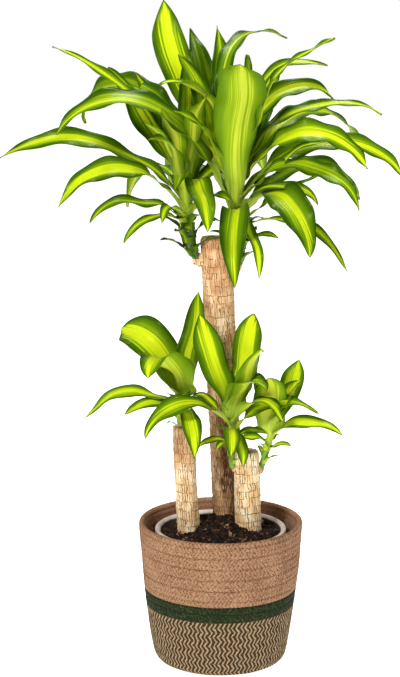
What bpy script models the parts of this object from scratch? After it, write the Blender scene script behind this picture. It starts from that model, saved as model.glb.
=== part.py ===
"""A corn plant: three canes with leafy shoots, in a nursery pot that stands in a woven basket.

Metres, +Z up, the origin at the middle of the basket's flat underside.
+X is the viewer's right and +Y points away from the viewer.
"""
from collections import namedtuple
from math import cos, pi, radians, sin, sqrt

import bmesh
import bpy
from mathutils import Vector

# Driving dimensions
CLEARANCE = 0.0003          # left between pieces that touch
BASKET_HEIGHT = 0.225
BASKET_WALL = 0.007
BASKET_FLOOR = 0.008
LINER_THICKNESS = 0.0008
LINER_TOP = 0.210
POT_RIM_RADIUS = 0.104
POT_RIM_TOP = 0.215
POT_WALL = 0.0025
POT_FOOT_RADIUS = 0.078
DRAIN_HOLES = 6
DRAIN_RADIUS = 0.006
SOIL_EDGE = 0.203
SOIL_CROWN = 0.222
LEAF_THICKNESS = 0.0012
LEAF_BASE_WIDTH = 0.011
LEAF_ROWS = 12
TURN_STEPS = 48

# The basket's outer side, as (radius, height) from the foot up to the rim
BASKET_SIDE = ((0.092, 0.0), (0.102, 0.004), (0.108, 0.018), (0.1144, 0.055),
               (0.1204, 0.108), (0.1256, 0.160), (0.130, 0.215))

# A cane: its foot, its cut top and its radius
Cane = namedtuple("Cane", "name foot top radius")
CANES = (
    Cane("cane_tall", Vector((0.0175, 0.045, 0.120)), Vector((-0.008, 0.045, 0.672)), 0.025),
    Cane("cane_left", Vector((-0.046, -0.008, 0.125)), Vector((-0.0595, -0.008, 0.380)), 0.018),
    Cane("cane_right", Vector((0.0465, 0.0, 0.150)), Vector((0.0395, 0.0, 0.339)), 0.019),
)

# A shoot: where it leaves its cane, the point that it bends towards, its top, and its radii
Shoot = namedtuple("Shoot", "start bend top start_radius middle_radius top_radius")
SHOOTS = {
    "top_left": Shoot(Vector((-0.0362, 0.0394, 0.638)), Vector((-0.062, 0.036, 0.662)),
                      Vector((-0.051, 0.016, 0.815)), 0.0075, 0.0115, 0.006),
    "top_right": Shoot(Vector((0.0256, 0.0392, 0.628)), Vector((0.034, 0.030, 0.664)),
                       Vector((0.006, 0.002, 0.830)), 0.0080, 0.0120, 0.007),
    "left": Shoot(Vector((-0.0624, 0.0139, 0.362)), Vector((-0.064, 0.024, 0.385)),
                  Vector((-0.056, 0.008, 0.455)), 0.0050, 0.0065, 0.003),
    "middle": Shoot(Vector((0.0185, -0.0081, 0.313)), Vector((0.015, -0.010, 0.335)),
                    Vector((0.020, -0.010, 0.430)), 0.0045, 0.0055, 0.003),
    "right": Shoot(Vector((0.0634, -0.0041, 0.312)), Vector((0.071, -0.006, 0.335)),
                   Vector((0.086, -0.004, 0.400)), 0.0050, 0.0058, 0.003),
}

# A leaf: its shoot, the height of its root, the compass angle that it leaves at, how steeply it
# rises, how far its pitch falls by the tip and how late it does so, its length and width, and how
# far its course sweeps round and its blade rolls by the tip. Angles are in degrees.
Leaf = namedtuple("Leaf", "name shoot height azimuth rise droop bend length width sweep roll")
LEAVES = (
    Leaf("leaf_front_upright", "top_right", 0.715, 272, 75, 70, 3.0, 0.285, 0.078, 0, 0),
    Leaf("leaf_front_hanging", "top_right", 0.706, 267, 50, 150, 0.7, 0.190, 0.046, 0, 0),
    Leaf("leaf_front_right", "top_right", 0.704, 319, 66, 160, 0.9, 0.210, 0.060, -15, 0),
    Leaf("leaf_tall_back", "top_right", 0.770, 145, 54, -24, 1.0, 0.295, 0.054, 0, 55),
    Leaf("leaf_long_left", "top_right", 0.722, 196, 67, 130, 1.8, 0.370, 0.055, 0, 35),
    Leaf("leaf_right_bright", "top_right", 0.742, 350, 74, 140, 1.2, 0.262, 0.046, 0, -40),
    Leaf("leaf_back_left", "top_right", 0.765, 112, 58, 8, 1.0, 0.280, 0.045, 0, 28),
    Leaf("leaf_back_far", "top_right", 0.778, 95, 66, 12, 1.0, 0.250, 0.038, 10, 0),
    Leaf("leaf_back_long", "top_right", 0.790, 120, 84, 110, 1.4, 0.340, 0.028, -95, 0),
    Leaf("leaf_fold_left", "top_right", 0.805, 194, 78, 122, 2.6, 0.170, 0.040, 0, 0),
    Leaf("leaf_inner_right", "top_right", 0.800, 52, 72, -5, 1.0, 0.160, 0.035, 0, 0),
    Leaf("leaf_arch_high", "top_right", 0.805, 3, 86, 100, 1.3, 0.230, 0.025, 0, -30),
    Leaf("leaf_upward_right", "top_right", 0.764, 328, 72, 58, 2.0, 0.290, 0.030, 0, -30),
    Leaf("leaf_crest_right", "top_right", 0.782, 20, 74, 125, 1.8, 0.235, 0.038, 0, -40),
    Leaf("leaf_back_right", "top_right", 0.760, 56, 66, 30, 1.0, 0.220, 0.038, 0, -25),
    Leaf("leaf_thin_right", "top_right", 0.755, 2, 74, 108, 1.2, 0.285, 0.025, 0, -30),
    Leaf("leaf_far_right", "top_right", 0.748, 43, 64, 130, 1.2, 0.365, 0.042, 0, -30),
    Leaf("leaf_longest_right", "top_right", 0.735, 8, 56, 112, 1.2, 0.308, 0.040, 0, -45),
    Leaf("leaf_low_right_front", "top_right", 0.730, 338, 56, 130, 1.2, 0.240, 0.034, 0, -40),
    Leaf("leaf_low_right_back", "top_right", 0.714, 28, 46, 115, 1.5, 0.260, 0.036, 0, -40),
    Leaf("leaf_short_right", "top_right", 0.720, 332, 48, 105, 1.4, 0.150, 0.025, 0, -30),
    Leaf("leaf_droop_right", "top_right", 0.690, 340, 35, 100, 0.8, 0.200, 0.020, 0, -30),
    Leaf("leaf_back_arch", "top_left", 0.775, 150, 78, 170, 1.7, 0.290, 0.055, 0, 35),
    Leaf("leaf_upward_left", "top_left", 0.768, 187, 68, 50, 1.2, 0.290, 0.022, 0, 40),
    Leaf("leaf_longest_left", "top_left", 0.735, 180, 54, 84, 1.0, 0.315, 0.034, 0, 50),
    Leaf("leaf_mid_left", "top_left", 0.722, 206, 55, 118, 1.2, 0.245, 0.038, 0, 45),
    Leaf("leaf_back_hanging", "top_left", 0.740, 125, 56, 140, 1.0, 0.210, 0.032, 0, 0),
    Leaf("leaf_low_left", "top_left", 0.705, 203, 38, 85, 1.2, 0.165, 0.026, 0, 30),
    Leaf("leaf_left_front", "top_left", 0.752, 286, 42, 135, 0.9, 0.150, 0.043, 0, 0),
    Leaf("leaf_left_inner", "top_left", 0.785, 92, 88, 10, 1.0, 0.170, 0.030, 0, 0),
    Leaf("leaf_lower_broad", "left", 0.425, 140, 58, 75, 2.2, 0.168, 0.066, 0, 40),
    Leaf("leaf_lower_folded", "left", 0.418, 232, 76, 168, 2.2, 0.140, 0.074, 0, 0),
    Leaf("leaf_lower_upright", "left", 0.440, 58, 78, 10, 1.0, 0.150, 0.040, 0, -20),
    Leaf("leaf_lower_twisted", "left", 0.404, 195, 42, 96, 1.1, 0.170, 0.022, 0, 40),
    Leaf("leaf_lower_short", "left", 0.398, 206, 42, 80, 1.0, 0.100, 0.024, 0, 35),
    Leaf("leaf_lower_hanging", "left", 0.396, 282, 30, 120, 1.0, 0.125, 0.031, 0, 0),
    Leaf("leaf_lower_back", "left", 0.420, 72, 64, 20, 1.0, 0.100, 0.030, 0, 0),
    Leaf("leaf_lower_right", "left", 0.410, 318, 55, 110, 1.0, 0.080, 0.025, 0, 0),
    Leaf("leaf_middle_tall", "middle", 0.400, 172, 70, -6, 1.0, 0.165, 0.048, 0, 70),
    Leaf("leaf_middle_back", "middle", 0.405, 40, 76, 0, 1.0, 0.155, 0.045, 0, -45),
    Leaf("leaf_middle_front", "middle", 0.390, 312, 74, 20, 1.0, 0.138, 0.045, 0, 0),
    Leaf("leaf_middle_left", "middle", 0.382, 206, 53, 125, 1.2, 0.178, 0.034, 0, 35),
    Leaf("leaf_middle_fold", "middle", 0.382, 325, 71, 140, 1.3, 0.120, 0.038, 0, 0),
    Leaf("leaf_middle_long", "middle", 0.370, 346, 64, 96, 1.0, 0.155, 0.030, 0, -30),
    Leaf("leaf_middle_hanging", "middle", 0.368, 290, 21, 115, 0.8, 0.070, 0.022, 0, 0),
    Leaf("leaf_right_upright", "right", 0.380, 22, 66, -5, 1.0, 0.110, 0.038, 0, -60),
    Leaf("leaf_right_inner", "right", 0.372, 125, 74, 20, 1.0, 0.100, 0.028, 0, 0),
    Leaf("leaf_right_arch", "right", 0.365, 345, 45, 85, 1.0, 0.120, 0.026, 0, -35),
)


def clear_scene():
    for item in list(bpy.data.objects):
        bpy.data.objects.remove(item, do_unlink=True)


def new_collection(name):
    collection = bpy.data.collections.new(name)
    bpy.context.scene.collection.children.link(collection)
    return collection


def new_material(name, colour, roughness, metallic=0.0):
    material = bpy.data.materials.new(name)
    material.use_nodes = True
    shader = material.node_tree.nodes["Principled BSDF"]
    shader.inputs["Base Color"].default_value = (*colour, 1.0)
    shader.inputs["Roughness"].default_value = roughness
    shader.inputs["Metallic"].default_value = metallic
    material.diffuse_color = (*colour, 1.0)
    return material


def add_object(name, data, collection, material=None):
    item = bpy.data.objects.new(name, data)
    collection.objects.link(item)
    if material:
        data.materials.append(material)
    return item


def turned(name, profile, collection, material):
    """A closed turned shape; the profile runs down its outer side and back up the inside."""
    mesh = bpy.data.meshes.new(name)
    edges = [(i, i + 1) for i in range(len(profile) - 1)]
    mesh.from_pydata([(radius, 0.0, height) for radius, height in profile], edges, [])
    item = add_object(name, mesh, collection, material)
    screw = item.modifiers.new("Turn", "SCREW")
    screw.steps = screw.render_steps = TURN_STEPS
    screw.use_merge_vertices = True
    screw.merge_threshold = 0.00001
    return item


def basket_radius(height):
    """The radius of the basket's outer side at a height."""
    for (low_radius, low), (high_radius, high) in zip(BASKET_SIDE, BASKET_SIDE[1:]):
        if height <= high:
            return low_radius + (high_radius - low_radius) * (height - low) / (high - low)
    return BASKET_SIDE[-1][0]


def basket_profile():
    rim = BASKET_SIDE[-1][0]
    outer = [(rim - BASKET_WALL / 2, BASKET_HEIGHT), (rim, BASKET_HEIGHT - BASKET_WALL / 2)]
    outer += [point for point in reversed(BASKET_SIDE)]
    inner = [(0.0, 0.0), (0.0, BASKET_FLOOR), (0.090, BASKET_FLOOR)]
    inner += [(radius - BASKET_WALL, height) for radius, height in BASKET_SIDE[2:]]
    inner += [(rim - BASKET_WALL, BASKET_HEIGHT - BASKET_WALL / 2), outer[0]]
    return outer + inner


def liner_profile():
    outer_gap = BASKET_WALL + CLEARANCE
    floor = BASKET_FLOOR + CLEARANCE
    heights = (LINER_TOP, 0.160, 0.108, 0.055, 0.020)
    outer = [(basket_radius(height) - outer_gap, height) for height in heights]
    foot = [(0.088, floor), (0.0, floor), (0.0, floor + LINER_THICKNESS),
            (0.087, floor + LINER_THICKNESS)]
    inner = [(radius - LINER_THICKNESS, height) for radius, height in reversed(outer)]
    return outer + foot + inner + [outer[0]]


def pot_floor():
    """The height of the nursery pot's underside."""
    return BASKET_FLOOR + LINER_THICKNESS + 2 * CLEARANCE


def pot_radius(height):
    """The inside radius of the nursery pot at a height."""
    share = (height - pot_floor()) / (POT_RIM_TOP - pot_floor())
    return POT_FOOT_RADIUS + share * (POT_RIM_RADIUS - 0.006 - POT_FOOT_RADIUS) - POT_WALL


def pot_profile():
    floor = pot_floor()
    shoulder = POT_RIM_TOP - 0.012
    return [(POT_RIM_RADIUS - 0.001, POT_RIM_TOP), (POT_RIM_RADIUS, POT_RIM_TOP - 0.001),
            (POT_RIM_RADIUS, shoulder), (pot_radius(shoulder) + POT_WALL, shoulder - 0.002),
            (POT_FOOT_RADIUS, floor + 0.003), (POT_FOOT_RADIUS - 0.002, floor), (0.0, floor),
            (0.0, floor + POT_WALL), (pot_radius(floor + POT_WALL), floor + POT_WALL),
            (pot_radius(POT_RIM_TOP), POT_RIM_TOP), (POT_RIM_RADIUS - 0.001, POT_RIM_TOP)]


def soil_profile():
    floor = pot_floor() + POT_WALL + CLEARANCE
    foot = pot_radius(floor) - CLEARANCE
    edge = pot_radius(SOIL_EDGE) - CLEARANCE
    return [(0.0, SOIL_CROWN), (0.030, SOIL_CROWN - 0.001), (0.060, SOIL_CROWN - 0.007),
            (edge - 0.008, SOIL_EDGE + 0.002), (edge, SOIL_EDGE), (foot, floor), (0.0, floor)]


def tube(name, points, radii, collection, material, sides=4):
    """A capped tube along points, with a radius at each."""
    curve = bpy.data.curves.new(name, "CURVE")
    curve.dimensions = "3D"
    curve.bevel_depth = 1.0
    curve.bevel_resolution = sides
    curve.use_fill_caps = True
    spline = curve.splines.new("POLY")
    spline.points.add(len(points) - 1)
    for spot, point, radius in zip(spline.points, points, radii):
        spot.co = (*point, 1.0)
        spot.radius = radius
    return add_object(name, curve, collection, material)


def as_mesh(item, collection):
    """The same curve object as a welded mesh, so that a modifier can use it."""
    graph = bpy.context.evaluated_depsgraph_get()
    mesh = bpy.data.meshes.new_from_object(item.evaluated_get(graph))
    solid = bmesh.new()
    solid.from_mesh(mesh)
    bmesh.ops.remove_doubles(solid, verts=solid.verts, dist=0.00001)
    solid.to_mesh(mesh)
    solid.free()
    name = item.name
    place = item.matrix_world.copy()
    bpy.data.objects.remove(item, do_unlink=True)
    result = bpy.data.objects.new(name, mesh)
    result.matrix_world = place
    collection.objects.link(result)
    return result


def add_cutter(target, cutter):
    cutter.display_type = "WIRE"
    cutter.hide_render = True
    cut = target.modifiers.new(cutter.name, "BOOLEAN")
    cut.operation = "DIFFERENCE"
    cut.solver = "EXACT"
    cut.object = cutter


def cane_points(cane, extra=0.0):
    """Four points up a cane, which starts `extra` lower than its foot."""
    foot = cane.foot - Vector((0.0, 0.0, extra))
    return [foot.lerp(cane.top, share) for share in (0.0, 0.35, 0.7, 1.0)]


def make_canes(collection, material):
    for cane in CANES:
        points = cane_points(cane)
        radii = [cane.radius * share for share in (1.0, 1.0, 0.98, 0.97)]
        tube(cane.name, points, radii, collection, material, sides=6)


def make_soil(collection, cutters, material):
    """Potting mix that fills the pot, with a pocket round each cane."""
    soil = turned("soil", soil_profile(), collection, material)
    for cane in CANES:
        radii = [cane.radius + CLEARANCE] * 4
        pocket = tube(cane.name + "_pocket", cane_points(cane, CLEARANCE), radii, cutters, None, 6)
        add_cutter(soil, as_mesh(pocket, cutters))


def make_pot(collection, cutters, material):
    pot = turned("nursery_pot", pot_profile(), collection, material)
    mesh = bpy.data.meshes.new("drain_holes")
    holes = bmesh.new()
    for index in range(DRAIN_HOLES):
        angle = 2 * pi * index / DRAIN_HOLES + pi / DRAIN_HOLES
        hole = bmesh.ops.create_cone(holes, cap_ends=True, segments=12, depth=0.02,
                                     radius1=DRAIN_RADIUS, radius2=DRAIN_RADIUS)
        place = Vector((0.055 * cos(angle), 0.055 * sin(angle), pot_floor()))
        bmesh.ops.translate(holes, verts=hole["verts"], vec=place)
    holes.to_mesh(mesh)
    holes.free()
    add_cutter(pot, add_object("drain_holes", mesh, cutters))


def shoot_at(shoot, share):
    """The shoot's centre at a share of its way up, and its radius there."""
    place = ((1 - share) ** 2 * shoot.start + 2 * share * (1 - share) * shoot.bend
             + share ** 2 * shoot.top)
    if share < 0.4:
        radius = shoot.start_radius + (shoot.middle_radius - shoot.start_radius) * share / 0.4
    else:
        radius = shoot.middle_radius
        radius += (shoot.top_radius - shoot.middle_radius) * (share - 0.4) / 0.6
    return place, radius


def shoot_share(shoot, height):
    """How far up the shoot a height lies."""
    rise = 2 * (shoot.bend.z - shoot.start.z)
    square = shoot.top.z - 2 * shoot.bend.z + shoot.start.z
    offset = shoot.start.z - height
    return (-rise + sqrt(rise * rise - 4 * square * offset)) / (2 * square)


def make_shoots(collection, material):
    for name, shoot in SHOOTS.items():
        spots = [shoot_at(shoot, index / 9) for index in range(10)]
        points, radii = zip(*spots)
        tube("shoot_" + name, points, radii, collection, material, sides=3)


def blade_width(leaf, share):
    """The leaf's width at a share of its length: a narrow base, a broad middle, a pointed tip."""
    if share < 0.5:
        swell = share / 0.5
        return LEAF_BASE_WIDTH + (leaf.width - LEAF_BASE_WIDTH) * swell * swell * (3 - 2 * swell)
    return leaf.width * (1.0 - 0.95 * ((share - 0.5) / 0.5) ** 1.8)


def leaf_rows(leaf):
    """Across the blade at each step up the leaf: its middle, its sideways and its upward line."""
    shoot = SHOOTS[leaf.shoot]
    place, radius = shoot_at(shoot, shoot_share(shoot, leaf.height))
    start = radians(leaf.azimuth)
    reach = radius + LEAF_THICKNESS / 2 + CLEARANCE
    place = place + reach * Vector((cos(start), sin(start), 0.0))
    fine = 4 * LEAF_ROWS
    rows = []
    for step in range(fine + 1):
        share = step / fine
        pitch = radians(leaf.rise - leaf.droop * share ** leaf.bend)
        heading = start + radians(leaf.sweep) * share
        along = Vector((cos(pitch) * cos(heading), cos(pitch) * sin(heading), sin(pitch)))
        side = Vector((sin(heading), -cos(heading), 0.0))
        over = side.cross(along)
        roll = radians(leaf.roll) * min(1.0, 2 * share)
        side, over = cos(roll) * side + sin(roll) * over, cos(roll) * over - sin(roll) * side
        if step % 4 == 0:
            rows.append((share, place.copy(), side, over))
        place += along * leaf.length / fine
    return rows


def leaf_solid(leaf):
    """The leaf as a thin closed solid: a grid, bent to its course and folded along the midrib."""
    rows = leaf_rows(leaf)
    solid = bmesh.new()
    bmesh.ops.create_grid(solid, x_segments=2, y_segments=LEAF_ROWS, size=1.0)
    for vertex in solid.verts:
        row = round((vertex.co.y + 1) / 2 * LEAF_ROWS)
        share, place, side, over = rows[row]
        half = blade_width(leaf, share) / 2
        fold = 0.30 * half * abs(vertex.co.x) * min(1.0, 3 * share)
        vertex.co = place + side * half * vertex.co.x + over * (fold + LEAF_THICKNESS / 2)
    bmesh.ops.recalc_face_normals(solid, faces=solid.faces)
    upward = rows[LEAF_ROWS // 2][3]
    if sum((face.normal.dot(upward) for face in solid.faces), 0.0) < 0:
        bmesh.ops.reverse_faces(solid, faces=solid.faces)
    bmesh.ops.solidify(solid, geom=solid.faces[:], thickness=LEAF_THICKNESS)
    bmesh.ops.recalc_face_normals(solid, faces=solid.faces)
    return solid


def make_leaves(collection, material):
    for leaf in LEAVES:
        solid = leaf_solid(leaf)
        mesh = bpy.data.meshes.new(leaf.name)
        solid.to_mesh(mesh)
        solid.free()
        add_object(leaf.name, mesh, collection, material)


def main():
    clear_scene()
    parts = new_collection("corn_plant")
    cutters = new_collection("cutters")
    straw = new_material("straw", (0.50, 0.29, 0.14), 0.8)
    film = new_material("film", (0.85, 0.82, 0.80), 0.3)
    grey_plastic = new_material("grey_plastic", (0.10, 0.10, 0.11), 0.5)
    potting_mix = new_material("potting_mix", (0.05, 0.025, 0.015), 1.0)
    bark = new_material("bark", (0.55, 0.36, 0.20), 0.8)
    stem_green = new_material("stem_green", (0.10, 0.22, 0.04), 0.5)
    leaf_green = new_material("leaf_green", (0.20, 0.42, 0.03), 0.35)
    turned("basket", basket_profile(), parts, straw)
    turned("basket_liner", liner_profile(), parts, film)
    make_pot(parts, cutters, grey_plastic)
    make_soil(parts, cutters, potting_mix)
    make_canes(parts, bark)
    make_shoots(parts, stem_green)
    make_leaves(parts, leaf_green)
    for item in cutters.objects:
        item.hide_set(True)


main()
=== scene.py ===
"""The look of a potted corn plant: three canes with leafy shoots, in a nursery pot in a woven basket.

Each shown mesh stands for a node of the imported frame, or is a small leaf, knob, sawn end or crumb
beside one. Metres, +Z up, the origin at the middle of the basket's flat underside.
"""
import random
from collections import namedtuple
from math import cos, exp, floor, pi, radians, sin, sqrt

import bmesh
import bpy
from mathutils import Matrix, Vector, noise


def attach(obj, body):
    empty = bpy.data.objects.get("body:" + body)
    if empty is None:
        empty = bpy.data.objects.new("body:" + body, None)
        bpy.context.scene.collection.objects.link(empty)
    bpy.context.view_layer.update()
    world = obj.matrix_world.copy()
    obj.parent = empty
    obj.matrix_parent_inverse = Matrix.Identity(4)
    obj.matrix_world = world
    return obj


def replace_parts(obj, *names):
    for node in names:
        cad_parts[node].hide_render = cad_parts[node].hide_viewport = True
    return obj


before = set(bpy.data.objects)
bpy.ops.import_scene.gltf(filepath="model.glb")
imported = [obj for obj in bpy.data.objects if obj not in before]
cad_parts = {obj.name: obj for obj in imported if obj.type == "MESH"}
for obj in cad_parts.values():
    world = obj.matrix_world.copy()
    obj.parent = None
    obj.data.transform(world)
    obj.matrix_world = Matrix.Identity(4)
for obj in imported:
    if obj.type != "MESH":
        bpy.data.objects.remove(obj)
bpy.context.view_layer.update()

# Shared with the frame
CLEARANCE = 0.0003
BASKET_HEIGHT = 0.225
BASKET_WALL = 0.007
BASKET_FLOOR = 0.008
LINER_TOP = 0.210
POT_RIM_RADIUS = 0.104
POT_RIM_TOP = 0.215
POT_WALL = 0.0025
POT_FOOT_RADIUS = 0.078
SOIL_EDGE = 0.203
SOIL_CROWN = 0.222
LEAF_THICKNESS = 0.0012
LEAF_BASE_WIDTH = 0.011

# The basket's outer side, as (radius, height) from the foot up to the rim
BASKET_SIDE = ((0.092, 0.0), (0.102, 0.004), (0.108, 0.018), (0.1144, 0.055),
               (0.1204, 0.108), (0.1256, 0.160), (0.130, 0.215))

# A cane: its foot, its cut top and its radius
Cane = namedtuple("Cane", "name foot top radius")
CANES = (
    Cane("cane_tall", Vector((0.0175, 0.045, 0.120)), Vector((-0.008, 0.045, 0.672)), 0.025),
    Cane("cane_left", Vector((-0.046, -0.008, 0.125)), Vector((-0.0595, -0.008, 0.380)), 0.018),
    Cane("cane_right", Vector((0.0465, 0.0, 0.150)), Vector((0.0395, 0.0, 0.339)), 0.019),
)

# A shoot: where it leaves its cane, the point that it bends towards, its top, and its radii
Shoot = namedtuple("Shoot", "start bend top start_radius middle_radius top_radius")
SHOOTS = {
    "top_left": Shoot(Vector((-0.0362, 0.0394, 0.638)), Vector((-0.062, 0.036, 0.662)),
                      Vector((-0.051, 0.016, 0.815)), 0.0075, 0.0115, 0.006),
    "top_right": Shoot(Vector((0.0256, 0.0392, 0.628)), Vector((0.034, 0.030, 0.664)),
                       Vector((0.006, 0.002, 0.830)), 0.0080, 0.0120, 0.007),
    "left": Shoot(Vector((-0.0624, 0.0139, 0.362)), Vector((-0.064, 0.024, 0.385)),
                  Vector((-0.056, 0.008, 0.455)), 0.0050, 0.0065, 0.003),
    "middle": Shoot(Vector((0.0185, -0.0081, 0.313)), Vector((0.015, -0.010, 0.335)),
                    Vector((0.020, -0.010, 0.430)), 0.0045, 0.0055, 0.003),
    "right": Shoot(Vector((0.0634, -0.0041, 0.312)), Vector((0.071, -0.006, 0.335)),
                   Vector((0.086, -0.004, 0.400)), 0.0050, 0.0058, 0.003),
}

# A leaf: its shoot, the height of its root, the compass angle that it leaves at, how steeply it
# rises, how far its pitch falls by the tip and how late it does so, its length and width, and how
# far its blade rolls and its course sweeps round by the tip. Angles are in degrees.
Leaf = namedtuple("Leaf", "name shoot height azimuth rise droop bend length width roll sweep",
                  defaults=(0, 0))


def leaves_of(prefix, table):
    """The leaves in a table that lists their rows under each shoot."""
    return [Leaf(prefix + row[0], shoot, *row[1:]) for shoot, rows in table.items() for row in rows]


LEAVES = leaves_of("leaf_", {
    "top_right": (
        ("front_upright", 0.715, 272, 75, 70, 3.0, 0.285, 0.078),
        ("front_hanging", 0.706, 267, 50, 150, 0.7, 0.190, 0.046),
        ("front_right", 0.704, 319, 66, 160, 0.9, 0.210, 0.060, 0, -15),
        ("tall_back", 0.770, 145, 54, -24, 1.0, 0.295, 0.054, 55),
        ("long_left", 0.722, 196, 67, 130, 1.8, 0.370, 0.055, 35),
        ("right_bright", 0.742, 350, 74, 140, 1.2, 0.262, 0.046, -40),
        ("back_left", 0.765, 112, 58, 8, 1.0, 0.280, 0.045, 28),
        ("back_far", 0.778, 95, 66, 12, 1.0, 0.250, 0.038, 0, 10),
        ("back_long", 0.790, 120, 84, 110, 1.4, 0.340, 0.028, 0, -95),
        ("fold_left", 0.805, 194, 78, 122, 2.6, 0.170, 0.040),
        ("inner_right", 0.800, 52, 72, -5, 1.0, 0.160, 0.035),
        ("arch_high", 0.805, 3, 86, 100, 1.3, 0.230, 0.025, -30),
        ("upward_right", 0.764, 328, 72, 58, 2.0, 0.290, 0.030, -30),
        ("crest_right", 0.782, 20, 74, 125, 1.8, 0.235, 0.038, -40),
        ("back_right", 0.760, 56, 66, 30, 1.0, 0.220, 0.038, -25),
        ("thin_right", 0.755, 2, 74, 108, 1.2, 0.285, 0.025, -30),
        ("far_right", 0.748, 43, 64, 130, 1.2, 0.365, 0.042, -30),
        ("longest_right", 0.735, 8, 56, 112, 1.2, 0.308, 0.040, -45),
        ("low_right_front", 0.730, 338, 56, 130, 1.2, 0.240, 0.034, -40),
        ("low_right_back", 0.714, 28, 46, 115, 1.5, 0.260, 0.036, -40),
        ("short_right", 0.720, 332, 48, 105, 1.4, 0.150, 0.025, -30),
        ("droop_right", 0.690, 340, 35, 100, 0.8, 0.200, 0.020, -30),
    ),
    "top_left": (
        ("back_arch", 0.775, 150, 78, 170, 1.7, 0.290, 0.055, 35),
        ("upward_left", 0.768, 187, 68, 50, 1.2, 0.290, 0.022, 40),
        ("longest_left", 0.735, 180, 54, 84, 1.0, 0.315, 0.034, 50),
        ("mid_left", 0.722, 206, 55, 118, 1.2, 0.245, 0.038, 45),
        ("back_hanging", 0.740, 125, 56, 140, 1.0, 0.210, 0.032),
        ("low_left", 0.705, 203, 38, 85, 1.2, 0.165, 0.026, 30),
        ("left_front", 0.752, 286, 42, 135, 0.9, 0.150, 0.043),
        ("left_inner", 0.785, 92, 88, 10, 1.0, 0.170, 0.030),
    ),
    "left": (
        ("lower_broad", 0.425, 140, 58, 75, 2.2, 0.168, 0.066, 40),
        ("lower_folded", 0.418, 232, 76, 168, 2.2, 0.140, 0.074),
        ("lower_upright", 0.440, 58, 78, 10, 1.0, 0.150, 0.040, -20),
        ("lower_twisted", 0.404, 195, 42, 96, 1.1, 0.170, 0.022, 40),
        ("lower_short", 0.398, 206, 42, 80, 1.0, 0.100, 0.024, 35),
        ("lower_hanging", 0.396, 282, 30, 120, 1.0, 0.125, 0.031),
        ("lower_back", 0.420, 72, 64, 20, 1.0, 0.100, 0.030),
        ("lower_right", 0.410, 318, 55, 110, 1.0, 0.080, 0.025),
    ),
    "middle": (
        ("middle_tall", 0.400, 172, 70, -6, 1.0, 0.165, 0.048, 70),
        ("middle_back", 0.405, 40, 76, 0, 1.0, 0.155, 0.045, -45),
        ("middle_front", 0.390, 312, 74, 20, 1.0, 0.138, 0.045),
        ("middle_left", 0.382, 206, 53, 125, 1.2, 0.178, 0.034, 35),
        ("middle_fold", 0.382, 325, 71, 140, 1.3, 0.120, 0.038),
        ("middle_long", 0.370, 346, 64, 96, 1.0, 0.155, 0.030, -30),
        ("middle_hanging", 0.368, 290, 21, 115, 0.8, 0.070, 0.022),
    ),
    "right": (
        ("right_upright", 0.380, 22, 66, -5, 1.0, 0.110, 0.038, -60),
        ("right_inner", 0.372, 125, 74, 20, 1.0, 0.100, 0.028),
        ("right_arch", 0.365, 345, 45, 85, 1.0, 0.120, 0.026, -35),
    ),
})

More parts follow.
